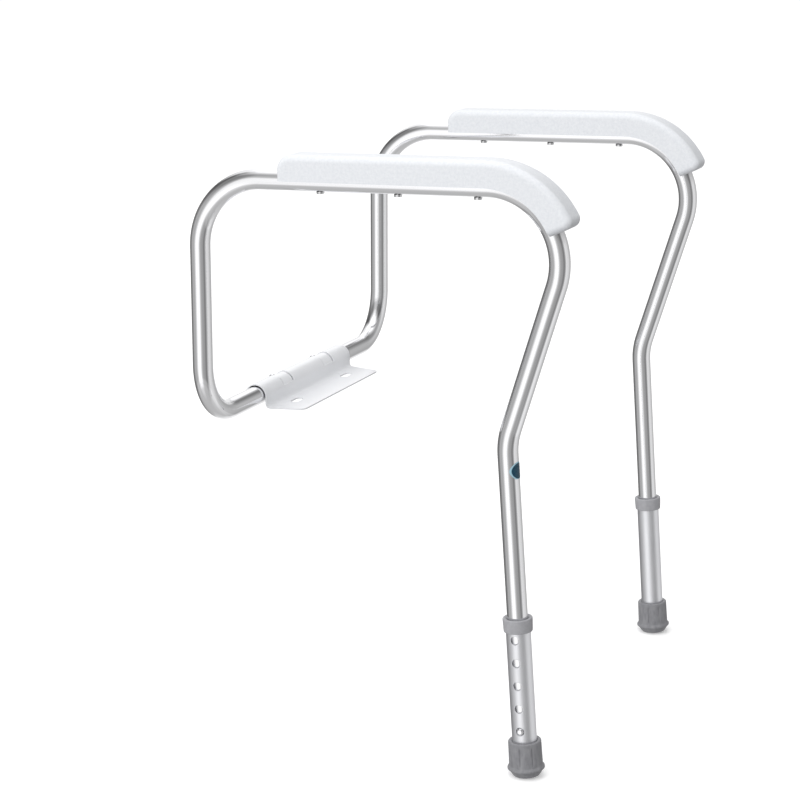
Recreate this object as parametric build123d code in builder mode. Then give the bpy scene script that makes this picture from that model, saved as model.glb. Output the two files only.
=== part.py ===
"""Toilet safety frame: a seat-bolt bracket, two bent tube arms and two height-adjustable legs.

Frame: the origin is on the bracket's underside, midway between its two seat-bolt slots.
+Z is up, -Y points to the front of the toilet, and -X is the seated user's right.
Each side piece is drawn once, for the right-hand side, and mirrored for the left.
"""
import os
from math import atan, cos, degrees, radians, sin, tan

from build123d import *

os.makedirs("parts", exist_ok=True)

# ---- Driving dimensions, in millimetres -------------------------------------------------
TUBE_R, TUBE_WALL = 11.1, 1.2  # 7/8 in aluminium arm tube
BEND_R, SOCKET_BEND_R = 76.2, 63.5  # a 3 in die, and a 2.5 in one beside the socket
ARM_X = 245.0  # centre plane of each arm
AXIS_Y, AXIS_Z = 30.0, 14.2  # axis of the bracket's rolled socket
TUBE_END_X = 30.0  # inner end of each arm tube, inside the socket
REAR_TOP_Z = 283.4  # where the rear upright's line meets the top rail's line
RAIL_RISE = 0.022  # the top rail climbs a little towards the front
FRONT_Y = -405.0  # where the top rail's line meets the slanted run's line
KNEE = Vector(-ARM_X, -323.8, 26.7)  # where the slanted run meets the lower leg
LEG_LEAN = 0.073  # forward lean of the lower leg per unit of drop
FLOOR_Z = -339.0  # where the leg's axis meets the floor, at the shortest setting

EXTENSION_R, EXTENSION_WALL = 13.3, 1.9  # leg extension, an easy slide over the arm tube
HOLE_PITCH, HOLE_COUNT, HOLE_R = 25.4, 5, 4.6
LOWEST_HOLE = 52.0  # heights along the leg, counted up from the floor
TUBE_FOOT, EXTENSION_FOOT, EXTENSION_TOP = 22.0, 10.0, 171.0
COLLAR_FOOT, COLLAR_TOP, COLLAR_FOOT_R, COLLAR_TOP_R = 161.0, 176.0, 15.5, 16.1
COLLAR_BORE_R, COLLAR_RIM, COLLAR_DISH, COLLAR_ROUND = 11.5, 2.2, 0.8, 0.8
TIP_TOP, TIP_LIP_R, TIP_BODY_R, TIP_FLANGE_R, TIP_BASE_R = 39.0, 17.8, 18.2, 20.1, 14.5
TIP_LIP_ROUND, TIP_BASE_ROUND = 1.4, 0.9
TIP_FLANGE_FOOT, TIP_FLANGE_TOP, TIP_FLANGE_LIFT, TIP_BODY_FOOT = 7.9, 9.3, 1.2, 12.0
TIP_FLUTES, TIP_FLUTE_WIDTH, TIP_FLUTE_DEPTH, TIP_FLUTE_FOOT, TIP_FLUTE_TOP = 8, 1.4, 0.8, 13.0, 34.5
TREAD_RADII, TREAD_WIDTH, TREAD_DEPTH = (5.0, 9.0), 1.6, 1.2
WASHER_R, WASHER_THICKNESS = 13.1, 2.0
LABEL_HEIGHT, LABEL_R, LABEL_THICKNESS = 337.0, 9.4, 0.25
LABEL_FACING = Vector(-0.17, -0.985, 0)

ARMREST_WIDTH, ARMREST_WALL = 38.0, 2.6
ARMREST_TOP, ARMREST_SKIRT = 28.5, 0.5  # heights above the rail's axis
ARMREST_REAR_Y = -70.0
ARMREST_END_ANGLE = 156.0  # how far round the front bend the armrest reaches
ARMREST_REAR_ROUND, ARMREST_FRONT_ROUND, ARMREST_EDGE_ROUND = 17.0, 9.0, 7.0
RIB_Y, RIB_ANGLES, RIB_THICKNESS = (-88.0, -157.0, -245.0), (108.0, 132.0), 2.4
BOSS_R = 4.6
SCREW_Y = (-113.0, -201.0, -289.0)
SCREW_R, SCREW_TIP, SCREW_HEAD_R, SCREW_HEAD, SCREW_HEAD_ROUND = 2.1, 21.0, 4.2, 2.4, 1.1
SCREW_CLEARANCE, RECESS_LENGTH, RECESS_WIDTH, RECESS_DEPTH = 0.3, 4.2, 0.9, 1.2

SHEET = 1.6  # bracket steel
SOCKET_R, SADDLE_R = 12.3, 11.4  # inside radii of the roll and of its pressed saddles
HEEL_R = 5.0
ROLL_WRAP = 260.0  # how far the sheet goes round the tube, in degrees
BRACKET_HALF, BRACKET_FRONT_HALF, BRACKET_FRONT_Y, BRACKET_CORNER = 118.0, 108.0, -27.0, 9.0
SADDLE_INNER_X, SADDLE_OUTER_X, SLIT, SADDLE_SHOULDER = 42.0, 71.0, 2.4, 3.4
SEAT_BOLT_SPACING, SLOT_LENGTH, SLOT_R = 139.7, 22.0, 4.75

WIDTH_STEP, WIDTH_BUTTON_X, WIDTH_BUTTON_ANGLE = 25.4, 56.5, 45.0
BUTTON_R, BUTTON_HOLE_R, BUTTON_DOME = 4.0, 4.3, 2.2
HEIGHT_BUTTON_TIP, WIDTH_BUTTON_TIP = 14.7, 15.4  # reach from the tube's axis
FLANGE_R, FLANGE_TOP, FLANGE_THICKNESS = 4.7, 8.4, 1.0
SPRING_SHEET, SPRING_WIDTH, SPRING_LENGTH, SPRING_BEND, SPRING_FOOT = 0.5, 6.0, 33.0, 1.2, 0.8

SLIP = 0.05  # gap between pieces that are fastened together

# ---- Derived geometry -------------------------------------------------------------------
TUBE_BORE = TUBE_R - TUBE_WALL
EXTENSION_BORE = EXTENSION_R - EXTENSION_WALL
LEG_UP = Vector(0, LEG_LEAN, 1).normalized()
FOOT = KNEE - LEG_UP * ((KNEE.Z - FLOOR_Z) / LEG_UP.Z)
LEG = Plane(origin=FOOT, x_dir=(-1, 0, 0), z_dir=LEG_UP)  # local Z is height along the leg

RAIL_TILT = atan(RAIL_RISE)
FRONT_Z = REAR_TOP_Z + RAIL_RISE * (AXIS_Y - FRONT_Y)
SLANT_TILT = atan((KNEE.Y - FRONT_Y) / (FRONT_Z - KNEE.Z))
SETBACK = BEND_R * tan((radians(90) + RAIL_TILT + SLANT_TILT) / 2)
BEND_Y = FRONT_Y + SETBACK * cos(RAIL_TILT) - BEND_R * sin(RAIL_TILT)
BEND_Z = FRONT_Z - SETBACK * sin(RAIL_TILT) - BEND_R * cos(RAIL_TILT)
BEND_START_ANGLE = 90 - degrees(RAIL_TILT)  # polar angle, in the YZ plane, where the bend begins
BEND_MIDDLE_ANGLE = (BEND_START_ANGLE + ARMREST_END_ANGLE) / 2

ARM_CORNERS = [
    (-TUBE_END_X, AXIS_Y, AXIS_Z),
    (-ARM_X, AXIS_Y, AXIS_Z),
    (-ARM_X, AXIS_Y, REAR_TOP_Z),
    (-ARM_X, FRONT_Y, FRONT_Z),
    KNEE,
    FOOT + LEG_UP * TUBE_FOOT,
]
HEIGHT_BUTTON = Plane(origin=FOOT + LEG_UP * LOWEST_HOLE, x_dir=LEG_UP, z_dir=(-1, 0, 0))
WIDTH_BUTTON = Plane(
    origin=(-WIDTH_BUTTON_X, AXIS_Y, AXIS_Z),
    x_dir=(-1, 0, 0),
    z_dir=(0, cos(radians(WIDTH_BUTTON_ANGLE)), sin(radians(WIDTH_BUTTON_ANGLE))),
)


def export_pair(name, piece):
    """Write the right-hand piece and its mirror image for the left-hand side."""
    for side, solid in (("right", piece), ("left", mirror(piece, about=Plane.YZ))):
        solid.label = f"{side}_{name}"
        export_step(solid, f"parts/{side}_{name}.step")


def rail_point(y, height):
    """(Y, Z) of the point that stands height above the top rail's axis."""
    rail_z = REAR_TOP_Z + RAIL_RISE * (AXIS_Y - y)
    return (y + height * sin(RAIL_TILT), rail_z + height * cos(RAIL_TILT))


def bend_point(angle, height):
    """(Y, Z) of the point at a polar angle round the front bend, height outside its axis."""
    reach = BEND_R + height
    return (BEND_Y + reach * cos(radians(angle)), BEND_Z + reach * sin(radians(angle)))


def rail_plane(y):
    """A plane on the rail's axis whose Z points up out of the rail."""
    return Plane(
        origin=(-ARM_X, *rail_point(y, 0)),
        x_dir=(1, 0, 0),
        z_dir=(0, sin(RAIL_TILT), cos(RAIL_TILT)),
    )


def bend_plane(angle):
    """A plane on the front bend's axis whose Z points away from the bend's centre."""
    return Plane(
        origin=(-ARM_X, *bend_point(angle, 0)),
        x_dir=(1, 0, 0),
        z_dir=(0, cos(radians(angle)), sin(radians(angle))),
    )


def bent_rod(radius, bore=0.0):
    """The arm tube's route as a rod, or as a tube when it has a bore."""
    with BuildPart() as rod:
        with BuildLine() as route:
            FilletPolyline(*ARM_CORNERS, radius=[SOCKET_BEND_R, BEND_R, BEND_R, BEND_R])
        with BuildSketch(Plane(origin=route.line @ 0, z_dir=route.line % 0)):
            Circle(radius)
            if bore:
                Circle(bore, mode=Mode.SUBTRACT)
        sweep()
    return rod.part


def armrest_block(top, width, trim, rounds):
    """The armrest's side outline drawn out to a width, with its long top edges rounded."""
    rear_round, front_round, edge_round = rounds
    rear = ARMREST_REAR_Y - trim
    end_angle = ARMREST_END_ANGLE - degrees(trim / BEND_R)
    sweep_angle = end_angle - BEND_START_ANGLE
    with BuildPart() as block:
        with BuildSketch(Plane.YZ.offset(-ARM_X)) as outline:
            with BuildLine():
                Line(rail_point(rear, ARMREST_SKIRT), bend_point(BEND_START_ANGLE, ARMREST_SKIRT))
                CenterArc((BEND_Y, BEND_Z), BEND_R + ARMREST_SKIRT, BEND_START_ANGLE, sweep_angle)
                Line(bend_point(end_angle, ARMREST_SKIRT), bend_point(end_angle, top))
                CenterArc((BEND_Y, BEND_Z), BEND_R + top, BEND_START_ANGLE, sweep_angle)
                Line(bend_point(BEND_START_ANGLE, top), rail_point(rear, top))
                Line(rail_point(rear, top), rail_point(rear, ARMREST_SKIRT))
            make_face()
            fillet(outline.vertices().sort_by_distance(rail_point(rear, top))[0], rear_round)
            fillet(outline.vertices().sort_by_distance(bend_point(end_angle, top))[0], front_round)
        extrude(amount=width / 2, both=True)
        sides = block.faces().filter_by(Axis.X).edges()
        skirt = block.faces().sort_by_distance((-ARM_X, *rail_point(SCREW_Y[1], 0)))[0].edges()
        inner_bend = block.faces().sort_by_distance((-ARM_X, *bend_point(BEND_MIDDLE_ANGLE, 0)))[0].edges()
        front_end = block.faces().sort_by_distance((-ARM_X, *bend_point(end_angle, top / 2)))[0].edges()
        rounded = [edge for edge in sides if edge not in skirt + inner_bend + front_end]
        fillet(rounded, edge_round)
    return block.part


# ---- Bracket: one steel sheet, flat under the seat bolts and rolled round the arm tubes ----
front_wall_y = AXIS_Y - SOCKET_R - SHEET / 2
with BuildPart() as bracket:
    with BuildSketch(Plane.YZ):
        with BuildLine():
            plate_line = Line((BRACKET_FRONT_Y, SHEET / 2), (front_wall_y - HEEL_R, SHEET / 2))
            heel = TangentArc(plate_line @ 1, (front_wall_y, SHEET / 2 + HEEL_R), tangent=plate_line % 1)
            Line(heel @ 1, (front_wall_y, AXIS_Z))
            CenterArc((AXIS_Y, AXIS_Z), SOCKET_R + SHEET / 2, 180, -ROLL_WRAP)
        trace(line_width=SHEET)
    extrude(amount=BRACKET_HALF, both=True)
    # The plate narrows a little towards its rounded front corners.
    with BuildSketch() as plan:
        heel_y = front_wall_y - SHEET
        with BuildLine():
            Polyline(
                (-BRACKET_HALF, 2 * AXIS_Y),
                (-BRACKET_HALF, heel_y),
                (-BRACKET_FRONT_HALF, BRACKET_FRONT_Y),
                (BRACKET_FRONT_HALF, BRACKET_FRONT_Y),
                (BRACKET_HALF, heel_y),
                (BRACKET_HALF, 2 * AXIS_Y),
                close=True,
            )
        make_face()
        fillet(plan.vertices().group_by(Axis.Y)[0], BRACKET_CORNER)
    extrude(amount=2 * AXIS_Y, mode=Mode.INTERSECT)
    # Two slits each side free a strip that is pressed in to make a saddle for the tube.
    for side in (-1, 1):
        middle = side * (SADDLE_INNER_X + SADDLE_OUTER_X) / 2
        span = SADDLE_OUTER_X - SADDLE_INNER_X
        with BuildSketch(Plane.YZ.offset(middle)):
            with Locations((AXIS_Y, AXIS_Z + SADDLE_SHOULDER)):
                Rectangle(4 * SOCKET_R, 2 * SOCKET_R, align=(Align.CENTER, Align.MIN))
        extrude(amount=span / 2, both=True, mode=Mode.SUBTRACT)
        with BuildSketch(Plane.YZ.offset(middle)):
            with Locations((AXIS_Y, AXIS_Z)):
                Circle(SADDLE_R + SHEET)
                Circle(SADDLE_R, mode=Mode.SUBTRACT)
            with Locations((AXIS_Y, AXIS_Z + SADDLE_SHOULDER / 2)):
                Rectangle(4 * SOCKET_R, 2 * SOCKET_R, align=(Align.CENTER, Align.MIN), mode=Mode.INTERSECT)
        extrude(amount=span / 2 - SLIT, both=True)
        # Three holes let the width button click at three widths.
        for step in (-1, 0, 1):
            hole_x = side * (WIDTH_BUTTON_X + step * WIDTH_STEP)
            with BuildSketch(Plane(origin=(hole_x, AXIS_Y, AXIS_Z), z_dir=WIDTH_BUTTON.z_dir)):
                Circle(BUTTON_HOLE_R)
            extrude(amount=2 * SOCKET_R, mode=Mode.SUBTRACT)
    with BuildSketch():
        with Locations((-SEAT_BOLT_SPACING / 2, 0), (SEAT_BOLT_SPACING / 2, 0)):
            SlotOverall(SLOT_LENGTH, 2 * SLOT_R)
    extrude(amount=SHEET, mode=Mode.SUBTRACT)
bracket.part.label = "bracket"
export_step(bracket.part, "parts/bracket.step")

# ---- Arm tube: socket end, rear upright, top rail, slanted run and lower leg in one bent tube ----
with BuildPart() as arm_tube:
    add(bent_rod(TUBE_R, TUBE_BORE))
    for button in (WIDTH_BUTTON, HEIGHT_BUTTON):
        with BuildSketch(button):
            Circle(BUTTON_HOLE_R)
        extrude(amount=2 * TUBE_R, mode=Mode.SUBTRACT)
    for y in SCREW_Y:
        with BuildSketch(rail_plane(y)):
            Circle(SCREW_R + SCREW_CLEARANCE)
        extrude(amount=2 * TUBE_R, both=True, mode=Mode.SUBTRACT)
export_pair("arm_tube", arm_tube.part)

# ---- Armrest: a moulded shell that sits on the rail, with ribs and screw bosses inside ----
armrest_rounds = (ARMREST_REAR_ROUND, ARMREST_FRONT_ROUND, ARMREST_EDGE_ROUND)
shell = armrest_block(ARMREST_TOP, ARMREST_WIDTH, 0, armrest_rounds)
cavity = armrest_block(
    ARMREST_TOP - ARMREST_WALL,
    ARMREST_WIDTH - 2 * ARMREST_WALL,
    ARMREST_WALL,
    [radius - ARMREST_WALL for radius in armrest_rounds],
)
rail_core = bent_rod(TUBE_R + SLIP)
with BuildPart() as ribs:
    for place in [rail_plane(y) for y in RIB_Y] + [bend_plane(angle) for angle in RIB_ANGLES]:
        with Locations(place):
            Box(ARMREST_WIDTH, RIB_THICKNESS, 2 * ARMREST_TOP)
    for y in SCREW_Y:
        with BuildSketch(rail_plane(y)):
            Circle(BOSS_R)
        extrude(amount=ARMREST_TOP)
    add(cavity, mode=Mode.INTERSECT)
with BuildPart() as armrest:
    add(shell)
    add(cavity, mode=Mode.SUBTRACT)
    add(ribs.part)
    add(rail_core, mode=Mode.SUBTRACT)
    for y in SCREW_Y:
        with BuildSketch(rail_plane(y)):
            Circle(SCREW_R + SLIP)
        extrude(amount=SCREW_TIP + SCREW_CLEARANCE, mode=Mode.SUBTRACT)
export_pair("armrest", armrest.part)

# ---- Armrest screws: three pan heads under the rail, with cross recesses ----
with BuildPart() as armrest_screws:
    for y in SCREW_Y:
        under = rail_plane(y).offset(-TUBE_R)
        with BuildSketch(under):
            Circle(SCREW_R)
        extrude(amount=TUBE_R + SCREW_TIP)
        with BuildSketch(under):
            Circle(SCREW_HEAD_R)
        extrude(amount=-SCREW_HEAD)
    fillet(armrest_screws.edges().filter_by(GeomType.CIRCLE).group_by(Axis.Z)[0], SCREW_HEAD_ROUND)
    for y in SCREW_Y:
        with BuildSketch(rail_plane(y).offset(-TUBE_R - SCREW_HEAD)):
            Rectangle(RECESS_LENGTH, RECESS_WIDTH)
            Rectangle(RECESS_WIDTH, RECESS_LENGTH)
        extrude(amount=RECESS_DEPTH, mode=Mode.SUBTRACT)
export_pair("armrest_screws", armrest_screws.part)


# ---- Snap buttons and their leaf springs -------------------------------------------------
def snap_button(place, tip):
    """A round-nosed button whose flange stops it against the inside of its tube."""
    with BuildPart() as button:
        with BuildSketch(place.offset(FLANGE_TOP - FLANGE_THICKNESS)):
            Circle(BUTTON_R)
        extrude(amount=tip - FLANGE_TOP + FLANGE_THICKNESS)
        nose = button.edges().filter_by(GeomType.CIRCLE).sort_by_distance(place.origin)[-1]
        fillet(nose, BUTTON_DOME)
        with BuildSketch(place.offset(FLANGE_TOP - FLANGE_THICKNESS)):
            Circle(FLANGE_R)
        extrude(amount=FLANGE_THICKNESS)
    return button.part


def leaf_spring(place):
    """A V of spring strip: one leaf lies under the button, the other on the far wall."""
    strip_plane = Plane(origin=place.origin, x_dir=place.x_dir, z_dir=-place.y_dir)
    leaf = FLANGE_TOP - FLANGE_THICKNESS - SPRING_SHEET / 2 - SLIP
    with BuildPart() as spring:
        with BuildSketch(strip_plane):
            with BuildLine():
                FilletPolyline(
                    (-FLANGE_R, leaf),
                    (FLANGE_R, leaf),
                    (SPRING_LENGTH, SPRING_BEND + SPRING_SHEET),
                    (SPRING_LENGTH, -SPRING_BEND - SPRING_SHEET),
                    (-FLANGE_R, SPRING_FOOT - TUBE_BORE),
                    radius=SPRING_BEND,
                )
            trace(line_width=SPRING_SHEET)
        extrude(amount=SPRING_WIDTH / 2, both=True)
    return spring.part


export_pair("width_button", snap_button(WIDTH_BUTTON, WIDTH_BUTTON_TIP))
export_pair("width_spring", leaf_spring(WIDTH_BUTTON))
export_pair("height_button", snap_button(HEIGHT_BUTTON, HEIGHT_BUTTON_TIP))
export_pair("height_spring", leaf_spring(HEIGHT_BUTTON))

# ---- Leg extension: an outer tube with a row of height holes in its outward side ----
with BuildPart() as extension:
    with BuildSketch(LEG.offset(EXTENSION_FOOT)):
        Circle(EXTENSION_R)
        Circle(EXTENSION_BORE, mode=Mode.SUBTRACT)
    extrude(amount=EXTENSION_TOP - EXTENSION_FOOT)
    for index in range(HOLE_COUNT):
        with BuildSketch(HEIGHT_BUTTON.shift_origin(HEIGHT_BUTTON.origin + LEG_UP * HOLE_PITCH * index)):
            Circle(HOLE_R)
        extrude(amount=2 * EXTENSION_R, mode=Mode.SUBTRACT)
export_pair("leg_extension", extension.part)

leg_section = Plane(origin=LEG.origin, x_dir=LEG.x_dir, z_dir=-LEG.y_dir)  # local Y is height

# ---- Collar: a grey moulded ring that caps the extension and guides the arm tube ----
with BuildPart() as collar:
    with BuildSketch(leg_section):
        with BuildLine():
            Polyline(
                (EXTENSION_R + SLIP, COLLAR_FOOT),
                (COLLAR_FOOT_R - COLLAR_ROUND, COLLAR_FOOT),
                (COLLAR_FOOT_R, COLLAR_FOOT + COLLAR_ROUND),
                (COLLAR_TOP_R, COLLAR_TOP - COLLAR_ROUND),
                (COLLAR_TOP_R - COLLAR_ROUND, COLLAR_TOP),
                (COLLAR_TOP_R - COLLAR_RIM, COLLAR_TOP),
                (COLLAR_BORE_R, COLLAR_TOP - COLLAR_DISH),
                (COLLAR_BORE_R, EXTENSION_TOP),
                (EXTENSION_R + SLIP, EXTENSION_TOP),
                close=True,
            )
        make_face()
    revolve(axis=Axis(LEG.origin, LEG_UP))
export_pair("leg_collar", collar.part)

# ---- Rubber tip: a cup with a rounded lip, upright grooves, a flared flange and a tapered tread ----
with BuildPart() as tip:
    with BuildSketch(leg_section):
        with BuildLine():
            Polyline(
                (0, 0),
                (TIP_BASE_R - TIP_BASE_ROUND, 0),
                (TIP_BASE_R, TIP_BASE_ROUND),
                (TIP_FLANGE_R - TIP_FLANGE_LIFT, TIP_FLANGE_FOOT - TIP_FLANGE_LIFT),
                (TIP_FLANGE_R, TIP_FLANGE_FOOT),
                (TIP_FLANGE_R, TIP_FLANGE_TOP),
                (TIP_BODY_R, TIP_BODY_FOOT),
                (TIP_LIP_R, TIP_TOP - TIP_LIP_ROUND),
                (TIP_LIP_R - TIP_LIP_ROUND, TIP_TOP),
                (EXTENSION_R + TIP_LIP_ROUND, TIP_TOP),
                (EXTENSION_R + SLIP, TIP_TOP - TIP_LIP_ROUND),
                (EXTENSION_R + SLIP, EXTENSION_FOOT - WASHER_THICKNESS),
                (0, EXTENSION_FOOT - WASHER_THICKNESS),
                close=True,
            )
        make_face()
    revolve(axis=Axis(LEG.origin, LEG_UP))
    with Locations(LEG.offset(TIP_FLUTE_FOOT)):
        with PolarLocations(TIP_BODY_R, TIP_FLUTES):
            Box(
                2 * TIP_FLUTE_DEPTH,
                TIP_FLUTE_WIDTH,
                TIP_FLUTE_TOP - TIP_FLUTE_FOOT,
                align=(Align.CENTER, Align.CENTER, Align.MIN),
                mode=Mode.SUBTRACT,
            )
    with BuildSketch(LEG):
        for groove_r in TREAD_RADII:
            Circle(groove_r + TREAD_WIDTH / 2)
            Circle(groove_r - TREAD_WIDTH / 2, mode=Mode.SUBTRACT)
    extrude(amount=TREAD_DEPTH, mode=Mode.SUBTRACT)
export_pair("leg_tip", tip.part)

# ---- Steel disc that keeps the extension from cutting through the rubber ----
with BuildPart() as washer:
    with BuildSketch(LEG.offset(EXTENSION_FOOT - WASHER_THICKNESS + SLIP)):
        Circle(WASHER_R)
    extrude(amount=WASHER_THICKNESS - 2 * SLIP)
export_pair("tip_washer", washer.part)

# ---- Plain round label that wraps on the right-hand leg's front ----
with BuildPart() as blank_label:
    with BuildSketch(LEG.offset(LABEL_HEIGHT - LABEL_R)):
        Circle(TUBE_R + SLIP + LABEL_THICKNESS)
        Circle(TUBE_R + SLIP, mode=Mode.SUBTRACT)
    extrude(amount=2 * LABEL_R)
    with BuildSketch(Plane(origin=LEG.origin + LEG_UP * LABEL_HEIGHT, z_dir=LABEL_FACING)):
        Circle(LABEL_R)
    extrude(amount=2 * TUBE_R, mode=Mode.INTERSECT)
blank_label.part.label = "right_blank_label"
export_step(blank_label.part, "parts/right_blank_label.step")
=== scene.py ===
"""Toilet safety frame: the looks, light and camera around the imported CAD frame.

Lengths are in metres, in the frame's own axes: +Z up, -Y to the front of the toilet, -X to the
seated user's right. Names starting with "right" are on the -X side, which faces the camera.
"""

from math import acos, atan2, ceil, cos, exp, pi, radians, sin, sqrt, tan

import bmesh
import bpy
from mathutils import Matrix, Vector


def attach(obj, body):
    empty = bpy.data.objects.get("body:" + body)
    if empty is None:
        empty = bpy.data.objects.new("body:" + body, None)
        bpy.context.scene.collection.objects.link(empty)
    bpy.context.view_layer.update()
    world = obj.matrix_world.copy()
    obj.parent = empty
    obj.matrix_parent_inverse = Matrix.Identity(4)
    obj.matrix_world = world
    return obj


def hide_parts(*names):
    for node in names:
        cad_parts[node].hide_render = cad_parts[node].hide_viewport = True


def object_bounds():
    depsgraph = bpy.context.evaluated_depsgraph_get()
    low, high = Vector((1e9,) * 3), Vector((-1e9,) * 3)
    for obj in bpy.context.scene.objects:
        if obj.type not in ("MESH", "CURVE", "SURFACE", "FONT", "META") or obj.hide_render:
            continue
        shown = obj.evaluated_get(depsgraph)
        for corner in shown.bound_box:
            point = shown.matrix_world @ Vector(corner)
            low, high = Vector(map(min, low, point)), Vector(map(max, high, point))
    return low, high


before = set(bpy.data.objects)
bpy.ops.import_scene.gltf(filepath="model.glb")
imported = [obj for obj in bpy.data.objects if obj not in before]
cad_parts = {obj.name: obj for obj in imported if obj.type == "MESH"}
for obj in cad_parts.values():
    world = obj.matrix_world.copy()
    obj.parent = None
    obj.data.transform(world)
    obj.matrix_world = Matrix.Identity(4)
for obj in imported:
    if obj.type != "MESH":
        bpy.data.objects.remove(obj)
cad_low, cad_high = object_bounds()

SIDES = {"right": -1, "left": 1}
MM = 0.001

# ---- Driving dimensions, the same as the CAD model's -------------------------------------
TUBE_R, TUBE_WALL = 11.1 * MM, 1.2 * MM
BEND_RADII = (63.5 * MM, 76.2 * MM, 76.2 * MM, 76.2 * MM)  # from the socket to the knee
ARM_X, AXIS_Y, AXIS_Z, TUBE_END_X = 245.0 * MM, 30.0 * MM, 14.2 * MM, 30.0 * MM
REAR_TOP_Z, RAIL_RISE, FRONT_Y = 283.4 * MM, 0.022, -405.0 * MM
KNEE = Vector((ARM_X, -323.8 * MM, 26.7 * MM))
LEG_LEAN, FLOOR_Z, TUBE_FOOT = 0.073, -339.0 * MM, 22.0 * MM
LEG_UP = Vector((0, LEG_LEAN, 1)).normalized()
LABEL_HEIGHT, LABEL_R, LABEL_FACING = 337.0 * MM, 9.4 * MM, Vector((-0.17, -0.985, 0))
EXTENSION_R, EXTENSION_WALL = 13.3 * MM, 1.9 * MM
EXTENSION_FOOT, EXTENSION_TOP = 10.0 * MM, 171.0 * MM
HOLE_PITCH, HOLE_COUNT, HOLE_R, LOWEST_HOLE = 25.4 * MM, 5, 4.6 * MM, 52.0 * MM
COLLAR_FOOT, COLLAR_TOP = 161.0 * MM, 176.0 * MM
COLLAR_FOOT_R, COLLAR_TOP_R, COLLAR_BORE_R = 15.5 * MM, 16.1 * MM, 11.5 * MM
TIP_TOP, TIP_LIP_R, TIP_BODY_R = 39.0 * MM, 17.8 * MM, 18.2 * MM
TIP_FLANGE_R, TIP_BASE_R = 20.1 * MM, 14.5 * MM
TIP_FLUTES, TIP_FLUTE_FOOT, TIP_FLUTE_TOP = 8, 13.0 * MM, 34.5 * MM
BUTTON_R, BUTTON_HOLE_R = 4.0 * MM, 4.3 * MM
FLANGE_R, FLANGE_TOP, FLANGE_THICKNESS = 4.7 * MM, 8.4 * MM, 1.0 * MM
HEIGHT_BUTTON_TIP, WIDTH_BUTTON_TIP = 14.7 * MM, 15.4 * MM
WIDTH_BUTTON_X, WIDTH_BUTTON_ANGLE = 56.5 * MM, radians(45)

# ---- Finish of the meshes -----------------------------------------------------------------
ROUND_SEGMENTS = 96  # facets round every tube and turned piece
BEND_STEP = radians(2.5)  # one ring of the arm tube for each of these in a bend
RUN_STEP = 12 * MM  # and one for each of these along a straight run
CORNER_STEPS = 5  # facets in each rounded corner of a turned outline
SHARP = radians(40)  # edges sharper than this stay crisp
STRAIGHT = radians(88)  # an outline corner whose half angle is over this needs no arc
WELD = 0.002 * MM  # points closer together than this are one
SEAT_GAP = 0.05 * MM  # between a moulding and the tube it is pressed on


# ---- Places -------------------------------------------------------------------------------
def leg_foot(side):
    """Where the leg's axis meets the floor."""
    knee = Vector((SIDES[side] * KNEE.x, KNEE.y, KNEE.z))
    return knee - LEG_UP * ((KNEE.z - FLOOR_Z) / LEG_UP.z)


def axes(origin, z_axis, x_axis):
    """A matrix that puts a piece drawn round its own Z axis in its place."""
    z_axis = z_axis.normalized()
    y_axis = z_axis.cross(x_axis).normalized()
    turned = Matrix((y_axis.cross(z_axis), y_axis, z_axis)).transposed()
    return Matrix.Translation(origin) @ turned.to_4x4()


def leg_place(side):
    """The leg's own axes: Z is height along the leg and X points outwards."""
    return axes(leg_foot(side), LEG_UP, Vector((SIDES[side], 0, 0)))


def arm_route(side):
    """Corners of the arm tube's axis, from the socket to the foot of the tube."""
    x = SIDES[side] * ARM_X
    front_z = REAR_TOP_Z + RAIL_RISE * (AXIS_Y - FRONT_Y)
    return [
        Vector((SIDES[side] * TUBE_END_X, AXIS_Y, AXIS_Z)),
        Vector((x, AXIS_Y, AXIS_Z)),
        Vector((x, AXIS_Y, REAR_TOP_Z)),
        Vector((x, FRONT_Y, front_z)),
        Vector((x, KNEE.y, KNEE.z)),
        leg_foot(side) + LEG_UP * TUBE_FOOT,
    ]


# ---- Mesh tools ---------------------------------------------------------------------------
def make_piece(name, vertices, faces, place=Matrix()):
    """A mesh object with outward normals, smooth except at its sharp edges."""
    mesh = bpy.data.meshes.new(name)
    mesh.from_pydata([place @ Vector(vertex) for vertex in vertices], [], faces)
    built = bmesh.new()
    built.from_mesh(mesh)
    bmesh.ops.remove_doubles(built, verts=built.verts, dist=WELD)
    bmesh.ops.recalc_face_normals(built, faces=built.faces)
    built.to_mesh(mesh)
    built.free()
    mesh.shade_smooth()
    mesh.set_sharp_from_angle(angle=SHARP)
    piece = bpy.data.objects.new(name, mesh)
    bpy.context.collection.objects.link(piece)
    return piece


def fit_piece(piece, body, node, material):
    """The piece rides on its body, stands for its CAD node and takes its finish."""
    piece.data.materials.clear()
    piece.data.materials.append(material)
    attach(piece, body)
    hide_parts(node)


def ring_faces(rings, loop=False):
    """Quads between neighbouring rings of vertex numbers."""
    faces = []
    pairs = list(zip(rings, rings[1:])) + ([(rings[-1], rings[0])] if loop else [])
    for lower, upper in pairs:
        for index in range(len(lower)):
            after = (index + 1) % len(lower)
            faces.append((lower[index], lower[after], upper[after], upper[index]))
    return faces


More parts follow.
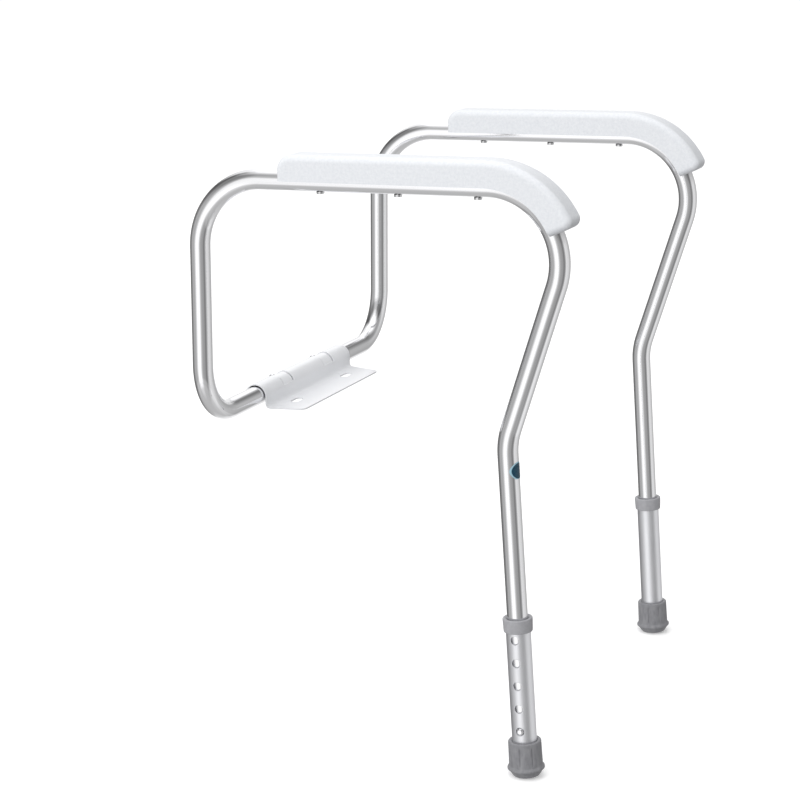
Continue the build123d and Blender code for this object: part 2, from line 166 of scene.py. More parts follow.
def rounded_outline(corners):
    """A closed (radius, height) outline whose corners, given as (r, z, round), are arcs."""
    outline = []
    for index, (r, z, corner_round) in enumerate(corners):
        here = Vector((r, z))
        before = (Vector(corners[index - 1][:2]) - here).normalized()
        after = (Vector(corners[(index + 1) % len(corners)][:2]) - here).normalized()
        half = acos(max(-1, min(1, before.dot(after)))) / 2
        if not corner_round or half > STRAIGHT:
            outline.append(here)
            continue
        reach = corner_round / tan(half)
        centre = here + (before + after).normalized() * (corner_round / sin(half))
        start, end = here + before * reach - centre, here + after * reach - centre
        for step in range(CORNER_STEPS + 1):
            share = step / CORNER_STEPS
            spoke = (start * (1 - share) + end * share).normalized() * corner_round
            outline.append(centre + spoke)
    return outline


def turned_piece(name, corners, place, angles=None, carve=None):
    """A solid turned from a closed outline; carve(angle, r, z) may push a point inwards."""
    outline = rounded_outline(corners)
    angles = angles or [2 * pi * index / ROUND_SEGMENTS for index in range(ROUND_SEGMENTS)]
    vertices, rings = [], []
    for r, z in outline:
        ring = []
        for angle in angles:
            reach = r - (carve(angle, r, z) if carve else 0)
            ring.append(len(vertices))
            vertices.append((reach * cos(angle), reach * sin(angle), z))
        rings.append(ring)
    return make_piece(name, vertices, ring_faces(rings, loop=True), place)


# ---- Arm tubes ----------------------------------------------------------------------------
def straight_stations(start, end):
    """(point, direction) along a straight run, close enough together to be drilled cleanly."""
    way = (end - start).normalized()
    steps = ceil((end - start).length / RUN_STEP)
    return [(start.lerp(end, step / steps), way) for step in range(steps + 1)]


def bend_stations(centre, way_in, inward, radius, turn):
    """(point, direction) round one bend."""
    steps = ceil(turn / BEND_STEP)
    stations = []
    for step in range(1, steps):
        angle = turn * step / steps
        spoke = way_in * sin(angle) - inward * cos(angle)
        stations.append((centre + spoke * radius, way_in * cos(angle) + inward * sin(angle)))
    return stations


def tube_stations(corners):
    """(point, direction, distance) along a route with every corner bent to its radius."""
    start, stations = corners[0], []
    for before, corner, after, radius in zip(corners, corners[1:], corners[2:], BEND_RADII):
        way_in, way_out = (corner - before).normalized(), (after - corner).normalized()
        turn = way_in.angle(way_out)
        reach = radius * tan(turn / 2)
        inward = (way_out - way_in * way_in.dot(way_out)).normalized()
        centre = corner - way_in * reach + inward * radius
        stations += straight_stations(start, corner - way_in * reach)
        stations += bend_stations(centre, way_in, inward, radius, turn)
        start = corner + way_out * reach
    stations += straight_stations(start, corners[-1])
    run, measured, last = 0, [], corners[0]
    for point, way in stations:
        run += (point - last).length
        measured.append((point, way, run))
        last = point
    return measured


def swept_tube(name, corners, radius, bore):
    """A bent tube with a real wall; "drawn" holds each point's place in the unbent tube."""
    stations = tube_stations(corners)
    across = Vector((0, 0, 1))
    vertices, drawn, outer, inner = [], [], [], []
    for point, way, run in stations:
        across = (across - way * across.dot(way)).normalized()
        beside = way.cross(across)
        for reach, rings in ((radius, outer), (bore, inner)):
            rings.append(range(len(vertices), len(vertices) + ROUND_SEGMENTS))
            for index in range(ROUND_SEGMENTS):
                angle = 2 * pi * index / ROUND_SEGMENTS
                vertices.append(point + (across * cos(angle) + beside * sin(angle)) * reach)
                drawn.append((reach * cos(angle), reach * sin(angle), run))
    rings = outer + inner[::-1]
    piece = make_piece(name, vertices, ring_faces(rings, loop=True))
    store_drawn(piece, drawn)
    return piece


def store_drawn(piece, places):
    """Keeps, for the drawn-metal materials, where each point was before the tube was bent."""
    attribute = piece.data.attributes.new("drawn", "FLOAT_VECTOR", "POINT")
    attribute.data.foreach_set("vector", [value for place in places for value in place])


def drill(piece, place, radius, depth):
    """Cuts a round hole from a place's origin out along its Z axis."""
    corners = [(0, 0, 0), (radius, 0, 0), (radius, depth, 0), (0, depth, 0)]
    cutter = turned_piece("drill", corners, place)
    cut = piece.modifiers.new("hole", "BOOLEAN")
    cut.operation, cut.solver, cut.object = "DIFFERENCE", "EXACT", cutter
    evaluated = piece.evaluated_get(bpy.context.evaluated_depsgraph_get())
    drilled = bpy.data.meshes.new_from_object(evaluated)
    piece.modifiers.clear()
    piece.data = drilled
    bpy.data.objects.remove(cutter)


def width_button_place(side):
    """The width button's axes: Z points up and back out of the socket."""
    out = Vector((0, cos(WIDTH_BUTTON_ANGLE), sin(WIDTH_BUTTON_ANGLE)))
    origin = Vector((SIDES[side] * WIDTH_BUTTON_X, AXIS_Y, AXIS_Z))
    return axes(origin, out, Vector((SIDES[side], 0, 0)))


def height_button_place(side):
    """The height button's axes: Z points outwards, away from the other leg."""
    origin = leg_foot(side) + LEG_UP * LOWEST_HOLE
    return axes(origin, Vector((SIDES[side], 0, 0)), LEG_UP)


def make_arm_tube(side, material):
    """One bent tube from the socket to the leg, drilled for its two snap buttons."""
    piece = swept_tube(f"{side}_bent_tube", arm_route(side), TUBE_R, TUBE_R - TUBE_WALL)
    for place in (width_button_place(side), height_button_place(side)):
        drill(piece, place, BUTTON_HOLE_R, 2 * TUBE_R)
    fit_piece(piece, f"{side}_arm", f"{side}_arm_tube", material)


# ---- Leg extensions -----------------------------------------------------------------------
HOLE_BREAK = 0.55 * MM  # rounded edge of each height hole
PATCH = 1.5 * HOLE_R  # half the side of the square of skin round a hole
PATCH_CELLS = 10  # facets along one side of that square
SKIN_SHARES = (0.35, 0.65, 0.85)  # loops between the square and the hole's rounded edge


def square_edge():
    """Points round a square from -1 to 1, in order, with the corners shared."""
    steps = [2 * index / PATCH_CELLS - 1 for index in range(PATCH_CELLS)]
    lower = [(step, -1) for step in steps] + [(1, step) for step in steps]
    return lower + [(-across, -up) for across, up in lower]


def hole_loop(height, reach, radius):
    """A loop of the drilled hole's wall, where it meets a round surface of that radius."""
    loop = []
    for across, up in square_edge():
        angle = atan2(up, across)
        y = reach * cos(angle)
        loop.append((sqrt(radius**2 - y**2), y, height + reach * sin(angle)))
    return loop


def skin_loop(height, share, radius):
    """A loop of skin between the square, at share 0, and the hole's edge, at share 1."""
    loop = []
    edge = hole_loop(height, HOLE_R + HOLE_BREAK, radius)
    for (across, up), hole_point in zip(square_edge(), edge):
        y = radius * sin(across * PATCH / EXTENSION_R) * (1 - share) + hole_point[1] * share
        z = (height + up * PATCH) * (1 - share) + hole_point[2] * share
        loop.append((sqrt(radius**2 - y**2), y, z))
    return loop


def pierced_skin(vertices, radius, heights, holes):
    """The grid of one skin of the tube, and for each hole the loops that lead to its edge."""
    columns = [PATCH / EXTENSION_R * (2 * index / PATCH_CELLS - 1) for index in range(PATCH_CELLS + 1)]
    rest = 2 * pi - 2 * PATCH / EXTENSION_R
    spare = ROUND_SEGMENTS - PATCH_CELLS
    columns += [columns[-1] + rest * index / spare for index in range(1, spare)]
    grid = []
    for height in heights:
        grid.append(range(len(vertices), len(vertices) + len(columns)))
        vertices += [(radius * cos(angle), radius * sin(angle), height) for angle in columns]
    faces = []
    for index, (lower, upper) in enumerate(zip(grid, grid[1:])):
        middle = (heights[index] + heights[index + 1]) / 2
        pierced = any(abs(middle - hole) < PATCH for hole in holes)
        for column in range(PATCH_CELLS if pierced else 0, len(columns)):
            after = (column + 1) % len(columns)
            faces.append((lower[column], lower[after], upper[after], upper[column]))
    mouths = []
    for hole in holes:
        loops = []
        for share in (0, *SKIN_SHARES, 1):
            loops.append(range(len(vertices), len(vertices) + 4 * PATCH_CELLS))
            vertices += skin_loop(hole, share, radius)
        faces += ring_faces(loops)
        mouths.append(loops[-1])
    return grid, mouths, faces


def pierced_tube(name, place):
    """The extension: a straight tube with a row of holes whose outer edges are broken."""
    holes = [LOWEST_HOLE + HOLE_PITCH * index for index in range(HOLE_COUNT)]
    heights = [EXTENSION_FOOT]
    for hole in holes:
        heights += [hole + PATCH * (2 * index / PATCH_CELLS - 1) for index in range(PATCH_CELLS + 1)]
    heights.append(EXTENSION_TOP)
    vertices = []
    bore = EXTENSION_R - EXTENSION_WALL
    outer, mouths, faces = pierced_skin(vertices, EXTENSION_R, heights, holes)
    inner, inner_mouths, inner_faces = pierced_skin(vertices, bore, heights, holes)
    faces += inner_faces
    for end in (0, -1):
        faces += ring_faces([outer[end], inner[end]])
    for hole, mouth, inner_mouth in zip(holes, mouths, inner_mouths):
        loops = [mouth]
        for step in range(1, CORNER_STEPS + 1):
            turn = pi / 2 * step / CORNER_STEPS
            reach = HOLE_R + HOLE_BREAK * (1 - sin(turn))
            depth = HOLE_BREAK * (1 - cos(turn))
            loops.append(range(len(vertices), len(vertices) + 4 * PATCH_CELLS))
            vertices += hole_loop(hole, reach, EXTENSION_R - depth)
        faces += ring_faces(loops + [inner_mouth])
    return make_piece(name, vertices, faces, place)


def make_extension(side, material):
    """The outer tube of one leg."""
    place = leg_place(side)
    piece = pierced_tube(f"{side}_pierced_extension", place)
    to_leg = place.inverted()
    store_drawn(piece, [to_leg @ vertex.co for vertex in piece.data.vertices])
    fit_piece(piece, f"{side}_leg", f"{side}_leg_extension", material)


# ---- Collars, tips and buttons ------------------------------------------------------------
INNER_ROUND = 0.2 * MM  # corners inside a moulding, or on a pressed part
COLLAR_RIM, COLLAR_DISH = 2.2 * MM, 0.8 * MM  # width of its flat top, and the fall inside it
MOUTH_ROUND, COLLAR_FOOT_ROUND, COLLAR_TOP_ROUND = 0.3 * MM, 0.7 * MM, 1.3 * MM
COLLAR_RIM_ROUND, COLLAR_BORE_ROUND = 0.8 * MM, 0.4 * MM


def make_collar(side, material):
    """A moulded ring: a thick soft-edged lip over the extension, and a snug bore."""
    outline = [
        (EXTENSION_R + SEAT_GAP, COLLAR_FOOT, MOUTH_ROUND),
        (COLLAR_FOOT_R, COLLAR_FOOT, COLLAR_FOOT_ROUND),
        (COLLAR_TOP_R, COLLAR_TOP, COLLAR_TOP_ROUND),
        (COLLAR_TOP_R - COLLAR_RIM, COLLAR_TOP, COLLAR_RIM_ROUND),
        (COLLAR_BORE_R, COLLAR_TOP - COLLAR_DISH, COLLAR_BORE_ROUND),
        (COLLAR_BORE_R, EXTENSION_TOP, INNER_ROUND),
        (EXTENSION_R + SEAT_GAP, EXTENSION_TOP, INNER_ROUND),
    ]
    piece = turned_piece(f"{side}_moulded_collar", outline, leg_place(side))
    fit_piece(piece, f"{side}_leg", f"{side}_leg_collar", material)


FLUTE_WIDTH, FLUTE_DEPTH, FLUTE_FADE = 1.5 * MM, 0.9 * MM, 2.2 * MM
FLUTE_SHARES = (-1, -0.7, -0.45, -0.2, 0, 0.2, 0.45, 0.7, 1)  # columns across one flute
FLUTE_ROWS = (-1, -0.93, -0.86, -0.8, 0, 0.8, 0.86, 0.93, 1)  # rows, close where it fades
PANEL_STEPS = 6  # facets across the skin between two flutes
SKIN_DEPTH = 3 * MM  # flutes stay in the tip's outer skin, this far outside the extension
TREAD_RING = (4.2 * MM, 5.8 * MM)  # radii of the small ring that reaches the floor
TREAD_INNER_R, TREAD_DEPTH, TREAD_ROUND = 8.2 * MM, 1.2 * MM, 0.3 * MM
# The flange from the tread up: how far inside its full radius, height and round.
FLANGE = ((1.4 * MM, 6.6 * MM, 2.0 * MM), (0, 7.4 * MM, 0.6 * MM), (0, 9.2 * MM, 0.7 * MM))
BASE_ROUND, BODY_FOOT_ROUND = 1.0 * MM, 1.2 * MM
LIP_ROUND, LIP_INNER_ROUND = 1.6 * MM, 1.2 * MM
BODY_FOOT, CUP_THICKNESS = 11.6 * MM, 2 * MM


def flute_angles():
    """Angles round the tip, close together at each flute and even on the panels between."""
    half = FLUTE_WIDTH / TIP_BODY_R
    angles = []
    for index in range(TIP_FLUTES):
        middle = 2 * pi * index / TIP_FLUTES
        angles += [middle + half * share for share in FLUTE_SHARES]
        panel = 2 * pi / TIP_FLUTES - 2 * half
        angles += [middle + half + panel * step / PANEL_STEPS for step in range(1, PANEL_STEPS)]
    return angles


def flute_depth(angle, r, z):
    """How far an upright flute sinks in at a point of the tip's outer skin."""
    if r < EXTENSION_R + SKIN_DEPTH:
        return 0
    sector = 2 * pi / TIP_FLUTES
    offset = (angle + sector / 2) % sector - sector / 2
    across = exp(-((offset * TIP_BODY_R / (FLUTE_WIDTH / 2)) ** 2))
    fade_in = min(1, max(0, (z - TIP_FLUTE_FOOT) / FLUTE_FADE))
    fade_out = min(1, max(0, (TIP_FLUTE_TOP - z) / FLUTE_FADE))
    return FLUTE_DEPTH * across * sin(pi / 2 * min(fade_in, fade_out))


def make_tip(side, material):
    """A moulded rubber cup with a rolled lip, flutes, a flared flange and a tapered tread."""
    ring_inside, ring_outside = TREAD_RING
    cup_floor = EXTENSION_FOOT - CUP_THICKNESS
    middle, half = (TIP_FLUTE_FOOT + TIP_FLUTE_TOP) / 2, (TIP_FLUTE_TOP - TIP_FLUTE_FOOT) / 2
    slope = (TIP_BODY_R - TIP_LIP_R) / (TIP_TOP - TIP_FLUTE_FOOT)
    outline = [
        (0, TREAD_DEPTH, 0),
        (ring_inside, TREAD_DEPTH, TREAD_ROUND),
        (ring_inside, 0, TREAD_ROUND),
        (ring_outside, 0, TREAD_ROUND),
        (ring_outside, TREAD_DEPTH, TREAD_ROUND),
        (TREAD_INNER_R, TREAD_DEPTH, TREAD_ROUND),
        (TREAD_INNER_R, 0, TREAD_ROUND),
        (TIP_BASE_R, 0, BASE_ROUND),
    ]
    outline += [(TIP_FLANGE_R - inside, height, edge) for inside, height, edge in FLANGE]
    outline.append((TIP_BODY_R, BODY_FOOT, BODY_FOOT_ROUND))
    heights = [middle + half * share for share in FLUTE_ROWS]
    outline += [(TIP_LIP_R + slope * (TIP_TOP - height), height, 0) for height in heights]
    outline += [
        (TIP_LIP_R, TIP_TOP, LIP_ROUND),
        (EXTENSION_R + SEAT_GAP, TIP_TOP, LIP_INNER_ROUND),
        (EXTENSION_R + SEAT_GAP, cup_floor, MOUTH_ROUND),
        (0, cup_floor, 0),
    ]
    piece = turned_piece(f"{side}_fluted_tip", outline, leg_place(side), flute_angles(), flute_depth)
    fit_piece(piece, f"{side}_leg", f"{side}_leg_tip", material)


DOME_ROUND = 2.4 * MM  # edge of the nose


def make_button(side, kind, place, reach, material):
    """A snap button: a flange that stays in the tube and a domed nose that shows."""
    low = FLANGE_TOP - FLANGE_THICKNESS
    outline = [
        (0, low, 0),
        (FLANGE_R, low, INNER_ROUND),
        (FLANGE_R, FLANGE_TOP, INNER_ROUND),
        (BUTTON_R, FLANGE_TOP, INNER_ROUND),
        (BUTTON_R, reach, DOME_ROUND),
        (0, reach, 0),
    ]
    piece = turned_piece(f"{side}_{kind}_nose", outline, place)
    fit_piece(piece, f"{side}_{kind}_press", f"{side}_{kind}_button", material)


# ---- Materials ----------------------------------------------------------------------------
class Shader:
    """A Principled material with short helpers for the nodes that feed it."""

    def __init__(self, name, colour, roughness, metallic=0.0, **sockets):
        self.material = bpy.data.materials.new(name)
        self.material.use_nodes = True
        self.nodes = self.material.node_tree.nodes
        self.links = self.material.node_tree.links
        self.main = self.nodes["Principled BSDF"]
        self.main.inputs["Base Color"].default_value = (*colour, 1)
        self.main.inputs["Roughness"].default_value = roughness
        self.main.inputs["Metallic"].default_value = metallic
        for socket, value in sockets.items():
            self.main.inputs[socket.replace("_", " ")].default_value = value
        self.heights = None

    def place(self, stretch=(1, 1, 1), attribute=None):
        """Coordinates in metres, stretched; from a stored attribute or the object's own."""
        mapping = self.nodes.new("ShaderNodeMapping")
        mapping.inputs["Scale"].default_value = stretch
        if attribute:
            source = self.nodes.new("ShaderNodeAttribute")
            source.attribute_name = attribute
            self.links.new(source.outputs["Vector"], mapping.inputs["Vector"])
        else:
            source = self.nodes.new("ShaderNodeTexCoord")
            self.links.new(source.outputs["Object"], mapping.inputs["Vector"])
        return mapping.outputs["Vector"]

    def noise(self, place, grain, detail=2.0, rough=0.5):
        """Noise whose blotches are about one grain wide, in metres."""
        node = self.nodes.new("ShaderNodeTexNoise")
        node.inputs["Scale"].default_value = 1 / grain
        node.inputs["Detail"].default_value = detail
        node.inputs["Roughness"].default_value = rough
        self.links.new(place, node.inputs["Vector"])
        return node.outputs["Fac"]

    def spread(self, value, low, high, start=0.3, stop=0.7):
        """A value remapped from start..stop to low..high."""
        node = self.nodes.new("ShaderNodeMapRange")
        node.inputs["From Min"].default_value = start
        node.inputs["From Max"].default_value = stop
        node.inputs["To Min"].default_value = low
        node.inputs["To Max"].default_value = high
        self.links.new(value, node.inputs["Value"])
        return node.outputs["Result"]

    def roughness(self, value, low, high, start=0.3, stop=0.7):
        """Roughness that follows a value."""
        self.links.new(self.spread(value, low, high, start, stop), self.main.inputs["Roughness"])

    def tint(self, value, first, second, start=0.3, stop=0.7):
        """Base colour that runs between two colours with a value."""
        mix = self.nodes.new("ShaderNodeMix")
        mix.data_type = "RGBA"
        mix.inputs["A"].default_value = (*first, 1)
        mix.inputs["B"].default_value = (*second, 1)
        self.links.new(self.spread(value, 0, 1, start, stop), mix.inputs["Factor"])
        self.links.new(mix.outputs["Result"], self.main.inputs["Base Color"])

    def bump(self, value, depth):
        """Relief of that depth in metres, added over any relief set before."""
        node = self.nodes.new("ShaderNodeBump")
        node.inputs["Strength"].default_value = 1.0
        node.inputs["Distance"].default_value = depth
        self.links.new(value, node.inputs["Height"])
        if self.heights:
            self.links.new(self.heights, node.inputs["Normal"])
        self.heights = node.outputs["Normal"]
        self.links.new(self.heights, self.main.inputs["Normal"])


def drawn_aluminium(name, colour, low_rough, high_rough, streak_depth):
    """Anodised tube: fine drawn lines along its length, and faint cloudy patches."""
    shader = Shader(name, colour, low_rough, metallic=1.0)
    lines = shader.noise(shader.place((1, 1, 0.012), "drawn"), 0.35 * MM, detail=3)
    clouds = shader.noise(shader.place((1, 1, 0.3), "drawn"), 14 * MM, detail=3)
    shader.roughness(clouds, low_rough, high_rough)
    darker = [0.94 * part for part in colour]
    shader.tint(lines, darker, colour)
    shader.bump(lines, streak_depth)
    return shader.material


def white_enamel():
    """Baked enamel with the slight orange peel of a sprayed coat."""
    shader = Shader("white_enamel", (0.86, 0.87, 0.895), 0.28, Coat_Weight=0.3, Coat_Roughness=0.12)
    shader.bump(shader.noise(shader.place(), 7 * MM), 0.005 * MM)
    dust = shader.noise(shader.place(), 25 * MM, detail=2)
    shader.roughness(dust, 0.28, 0.31)
    shader.tint(dust, (0.85, 0.86, 0.885), (0.87, 0.88, 0.905))
    return shader.material


def armrest_plastic():
    """White moulded plastic with a fine spark-eroded grain."""
    shader = Shader("armrest_plastic", (0.80, 0.83, 0.88), 0.4, Specular_IOR_Level=0.45)
    grain = shader.noise(shader.place(), 3 * MM, detail=5, rough=0.7)
    shader.bump(grain, 0.14 * MM)
    shader.roughness(grain, 0.36, 0.50)
    shader.tint(grain, (0.70, 0.72, 0.755), (0.80, 0.815, 0.84))
    return shader.material


def grey_moulding():
    """Mid-grey moulded plastic."""
    shader = Shader("grey_moulding", (0.34, 0.34, 0.36), 0.45)
    shader.bump(shader.noise(shader.place(), 0.6 * MM, detail=3), 0.04 * MM)
    patches = shader.noise(shader.place(), 5 * MM, detail=4)
    shader.roughness(patches, 0.38, 0.55)
    shader.tint(patches, (0.34, 0.34, 0.36), (0.40, 0.40, 0.42))
    return shader.material


def grey_rubber():
    """Dark grey rubber, a little shiny, with pale dust in its texture."""
    shader = Shader("grey_rubber", (0.19, 0.19, 0.205), 0.45)
    shader.bump(shader.noise(shader.place(), 0.5 * MM, detail=3), 0.05 * MM)
    dust = shader.noise(shader.place((1, 1, 0.4)), 4 * MM, detail=5)
    shader.roughness(dust, 0.36, 0.6)
    shader.tint(dust, (0.20, 0.20, 0.215), (0.28, 0.28, 0.295))
    return shader.material


def bright_metal(name, colour, low_rough, high_rough):
    """Plated or tempered steel with a faint uneven polish."""
    shader = Shader(name, colour, low_rough, metallic=1.0)
    marks = shader.noise(shader.place(), 1.2 * MM, detail=4)
    shader.roughness(marks, low_rough, high_rough)
    shader.bump(marks, 0.01 * MM)
    return shader.material


def vector_math(nodes, links, operation, first, second=None):
    """A vector math node fed by a socket, and by a second socket or a constant vector."""
    node = nodes.new("ShaderNodeVectorMath")
    node.operation = operation
    links.new(first, node.inputs[0])
    if isinstance(second, Vector):
        node.inputs[1].default_value = second
    elif second is not None:
        links.new(second, node.inputs[1])
    return node.outputs


LABEL_FIELD, LABEL_EDGE = (0.01, 0.06, 0.10), (0.36, 0.58, 0.68)
LABEL_EDGE_FROM, LABEL_EDGE_TO = 0.86, 0.90  # where the edge starts, as shares of the radius


def plain_label():
    """Glossy printed film, one dark teal field with a paler edge and no marks on it."""
    shader = Shader("plain_label", LABEL_FIELD, 0.25, Specular_IOR_Level=0.3)
    tree = shader.nodes, shader.links
    middle = leg_foot("right") + LEG_UP * LABEL_HEIGHT
    apart = vector_math(*tree, "SUBTRACT", shader.place(), middle)[0]
    across = vector_math(*tree, "CROSS_PRODUCT", apart, LABEL_FACING.normalized())[0]
    reach = vector_math(*tree, "LENGTH", across)["Value"]
    shader.tint(reach, LABEL_FIELD, LABEL_EDGE, LABEL_EDGE_FROM * LABEL_R, LABEL_EDGE_TO * LABEL_R)
    shader.roughness(shader.noise(shader.place(), 3 * MM), 0.2, 0.35)
    return shader.material


def dress_node(node, material):
    """Gives a CAD node its finish."""
    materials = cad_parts[node].data.materials
    materials.clear()
    materials.append(material)


# ---- Stage, light and camera --------------------------------------------------------------
CAMERA_AZIMUTH, CAMERA_ELEVATION = -67.37, 13.66  # degrees
CAMERA_DISTANCE, CAMERA_LENS, CAMERA_SENSOR = 2.45, 95.17, 36  # metres, then millimetres
CAMERA_TARGET = Vector((-0.0472, -0.1209, 0.0074))
FLOOR_RADIUS, FLOOR_WHITE, FLOOR_GLOW = 6.0, (0.92, 0.92, 0.92), 0.26
# Soft boxes: name, azimuth, elevation, distance, width, height, watts.
LIGHTS = (
    ("overhead", -70, 68, 2.0, 1.4, 1.4, 7),
    ("camera_left", -115, 25, 2.2, 0.8, 1.4, 4),
)


def direction(azimuth, elevation):
    """The direction from the object towards a place round it, as the camera's angles run."""
    azimuth, elevation = radians(azimuth), radians(elevation)
    return Vector((sin(azimuth) * cos(elevation), -cos(azimuth) * cos(elevation), sin(elevation)))


def aim(thing, target, distance, azimuth, elevation):
    """Stands a camera or light round a target and points it there."""
    back = direction(azimuth, elevation)
    thing.location = target + back * distance
    thing.rotation_mode = "QUATERNION"
    thing.rotation_quaternion = (-back).to_track_quat("-Z", "Y")
    bpy.context.collection.objects.link(thing)


def make_camera():
    """A long lens at the viewing angle of the picture."""
    data = bpy.data.cameras.new("camera")
    data.lens, data.sensor_width = CAMERA_LENS, CAMERA_SENSOR
    camera = bpy.data.objects.new("camera", data)
    aim(camera, CAMERA_TARGET, CAMERA_DISTANCE, CAMERA_AZIMUTH, CAMERA_ELEVATION)
    bpy.context.scene.camera = camera


def make_light(name, azimuth, elevation, distance, width, height, power):
    """A soft box aimed at the middle of the object; reflections see the world's boxes instead."""
    data = bpy.data.lights.new(name, "AREA")
    data.shape, data.size, data.size_y = "RECTANGLE", width, height
    data.energy = power
    light = bpy.data.objects.new(name, data)
    aim(light, (cad_low + cad_high) / 2, distance, azimuth, elevation)
    light.visible_camera = light.visible_glossy = False


def make_floor():
    """A plain white floor that the tips stand on; it throws no light on the frame."""
    middle = (cad_low + cad_high) / 2
    points = []
    for index in range(ROUND_SEGMENTS):
        angle = 2 * pi * index / ROUND_SEGMENTS
        reach = Vector((cos(angle), sin(angle), 0)) * FLOOR_RADIUS
        points.append(Vector((middle.x, middle.y, cad_low.z)) + reach)
    floor = make_piece("floor", points, [tuple(range(len(points)))])
    glow = {"Emission_Color": (1, 1, 1, 1), "Emission_Strength": FLOOR_GLOW}
    white = Shader("floor", FLOOR_WHITE, 0.6, **glow)
    floor.data.materials.append(white.material)
    floor.visible_glossy = floor.visible_diffuse = False


# Brightness of the studio as a gloss sees it, round the object by azimuth in degrees.
AROUND = (
    (-180, 0.27), (-164, 0.50), (-148, 0.45), (-134, 0.56), (-120, 1.05), (-108, 1.25), (-90, 1.25),
    (-82, 1.00), (-72, 0.58), (-61, 0.42), (-38, 0.36), (-26, 0.22), (-13, 0.34), (0, 0.84),
    (30, 0.78), (49, 0.60), (77, 0.42), (90, 0.90), (118, 0.95), (133, 0.22), (149, 0.13), (180, 0.27),
)
# How much of that counts, and what floor and ceiling add, by the sine of the elevation.
BANDS = (
    (-1, 0), (-0.80, 0.25), (-0.68, 0.70), (-0.55, 1), (0.15, 1), (0.28, 0.78), (0.42, 0.52),
    (0.60, 0.50), (0.75, 0.60), (0.88, 0.30), (1, 0),
)
LEVELS = (
    (-1, 0.55), (-0.80, 0.45), (-0.62, 0.20), (-0.50, 0), (0.65, 0), (0.76, 0.20), (0.84, 0.65),
    (0.89, 1.10), (1, 1.20),
)
CEILING_AT, CEILING_EDGE, CEILING_CORE, CEILING_LIGHT = (122, 44), 0.83, 0.94, 0.9
KEY_AT, EVEN_LIGHT, KEY_LIGHT = (-125, 40), 0.68, 0.66
BACKDROP = 1.05


def ramp_of(nodes, stops, low, high):
    """A smooth grey ramp from (place, brightness) stops between two places."""
    ramp = nodes.new("ShaderNodeValToRGB")
    ramp.color_ramp.interpolation = "EASE"
    elements = ramp.color_ramp.elements
    while len(elements) < len(stops):
        elements.new(0.5)
    for element, (place, brightness) in zip(elements, stops):
        element.position = (place - low) / (high - low)
        element.color = (brightness, brightness, brightness, 1)
    return ramp


def facing(nodes, links, azimuth, elevation, stops, values):
    """Light that grows as the view turns towards a place, between two cosines."""
    view = nodes.new("ShaderNodeTexCoord").outputs["Generated"]
    towards = vector_math(nodes, links, "DOT_PRODUCT", view, direction(azimuth, elevation))
    light = nodes.new("ShaderNodeMapRange")
    light.inputs["From Min"].default_value, light.inputs["From Max"].default_value = stops
    light.inputs["To Min"].default_value, light.inputs["To Max"].default_value = values
    links.new(towards["Value"], light.inputs["Value"])
    return light.outputs["Result"]


def azimuth_and_height(nodes, links):
    """The view's azimuth in radians and the sine of its elevation, as sockets."""
    split = nodes.new("ShaderNodeSeparateXYZ")
    links.new(nodes.new("ShaderNodeTexCoord").outputs["Generated"], split.inputs[0])
    forwards = nodes.new("ShaderNodeMath")
    forwards.operation = "MULTIPLY"
    forwards.inputs[1].default_value = -1
    links.new(split.outputs["Y"], forwards.inputs[0])
    turn = nodes.new("ShaderNodeMath")
    turn.operation = "ARCTAN2"
    links.new(split.outputs["X"], turn.inputs[0])
    links.new(forwards.outputs[0], turn.inputs[1])
    return turn.outputs[0], split.outputs["Z"]


def studio_for_gloss(nodes, links):
    """Tall soft boxes round the object, a pale ceiling and a pale floor, as one colour."""
    turn, upward = azimuth_and_height(nodes, links)
    light = nodes.new("ShaderNodeVectorMath")
    light.operation = "MULTIPLY_ADD"
    layers = ((turn, AROUND, pi), (upward, BANDS, 1), (upward, LEVELS, 1))
    for (value, stops, reach), socket in zip(layers, light.inputs):
        place = nodes.new("ShaderNodeMapRange")
        place.inputs["From Min"].default_value = -reach
        place.inputs["From Max"].default_value = reach
        links.new(value, place.inputs["Value"])
        ramp = ramp_of(nodes, stops, stops[0][0], stops[-1][0])
        links.new(place.outputs["Result"], ramp.inputs["Fac"])
        links.new(ramp.outputs["Color"], socket)
    ceiling = facing(nodes, links, *CEILING_AT, (CEILING_EDGE, CEILING_CORE), (0, CEILING_LIGHT))
    return vector_math(nodes, links, "ADD", light.outputs[0], ceiling)[0]


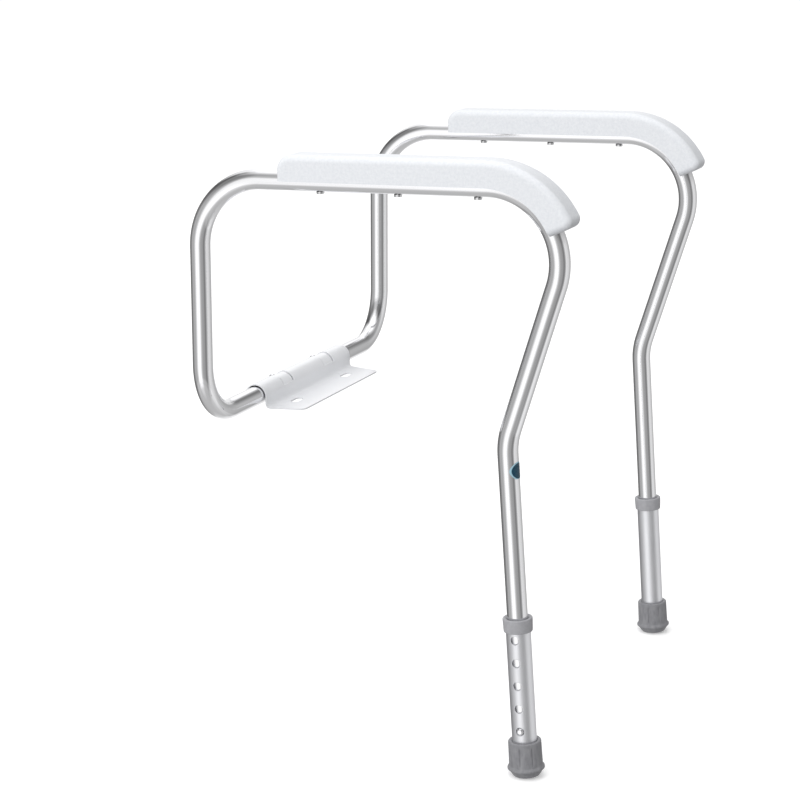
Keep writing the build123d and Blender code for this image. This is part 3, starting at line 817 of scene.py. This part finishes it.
def make_world():
    """White behind the object, soft key light on matt surfaces, and a studio for the gloss."""
    world = bpy.data.worlds.new("studio")
    bpy.context.scene.world = world
    world.use_nodes = True
    nodes, links = world.node_tree.nodes, world.node_tree.links
    soft = nodes["Background"]
    gloss = nodes.new("ShaderNodeBackground")
    backdrop = nodes.new("ShaderNodeBackground")
    key = facing(nodes, links, *KEY_AT, (-1, 1), (EVEN_LIGHT - KEY_LIGHT, EVEN_LIGHT + KEY_LIGHT))
    links.new(key, soft.inputs["Color"])
    backdrop.inputs["Color"].default_value = (BACKDROP, BACKDROP, BACKDROP, 1)
    links.new(studio_for_gloss(nodes, links), gloss.inputs["Color"])
    path = nodes.new("ShaderNodeLightPath")
    shown = soft
    for ray, background in (("Is Glossy Ray", gloss), ("Is Camera Ray", backdrop)):
        mix = nodes.new("ShaderNodeMixShader")
        links.new(path.outputs[ray], mix.inputs["Fac"])
        links.new(shown.outputs[0], mix.inputs[1])
        links.new(background.outputs[0], mix.inputs[2])
        shown = mix
    links.new(shown.outputs[0], nodes["World Output"].inputs["Surface"])


# ---- Build --------------------------------------------------------------------------------
tube_metal = drawn_aluminium("anodised_tube", (0.88, 0.88, 0.895), 0.06, 0.12, 0.003 * MM)
extension_metal = drawn_aluminium("satin_extension", (0.88, 0.885, 0.91), 0.40, 0.48, 0.006 * MM)
button_metal = bright_metal("button_steel", (0.86, 0.86, 0.88), 0.08, 0.2)
plated_metal = bright_metal("plated_steel", (0.72, 0.72, 0.73), 0.2, 0.35)
spring_metal = bright_metal("spring_steel", (0.30, 0.30, 0.33), 0.25, 0.4)
armrest_white, moulding, rubber = armrest_plastic(), grey_moulding(), grey_rubber()

dress_node("bracket", white_enamel())
dress_node("right_blank_label", plain_label())
for side in SIDES:
    make_arm_tube(side, tube_metal)
    make_extension(side, extension_metal)
    make_collar(side, moulding)
    make_tip(side, rubber)
    make_button(side, "width", width_button_place(side), WIDTH_BUTTON_TIP, button_metal)
    make_button(side, "height", height_button_place(side), HEIGHT_BUTTON_TIP, button_metal)
    dress_node(f"{side}_armrest", armrest_white)
    for part, metal in (
        ("armrest_screws", plated_metal),
        ("tip_washer", plated_metal),
        ("width_spring", spring_metal),
        ("height_spring", spring_metal),
    ):
        dress_node(f"{side}_{part}", metal)

bpy.context.scene.view_settings.view_transform = "Standard"
make_camera()
make_world()
make_floor()
for light in LIGHTS:
    make_light(*light)
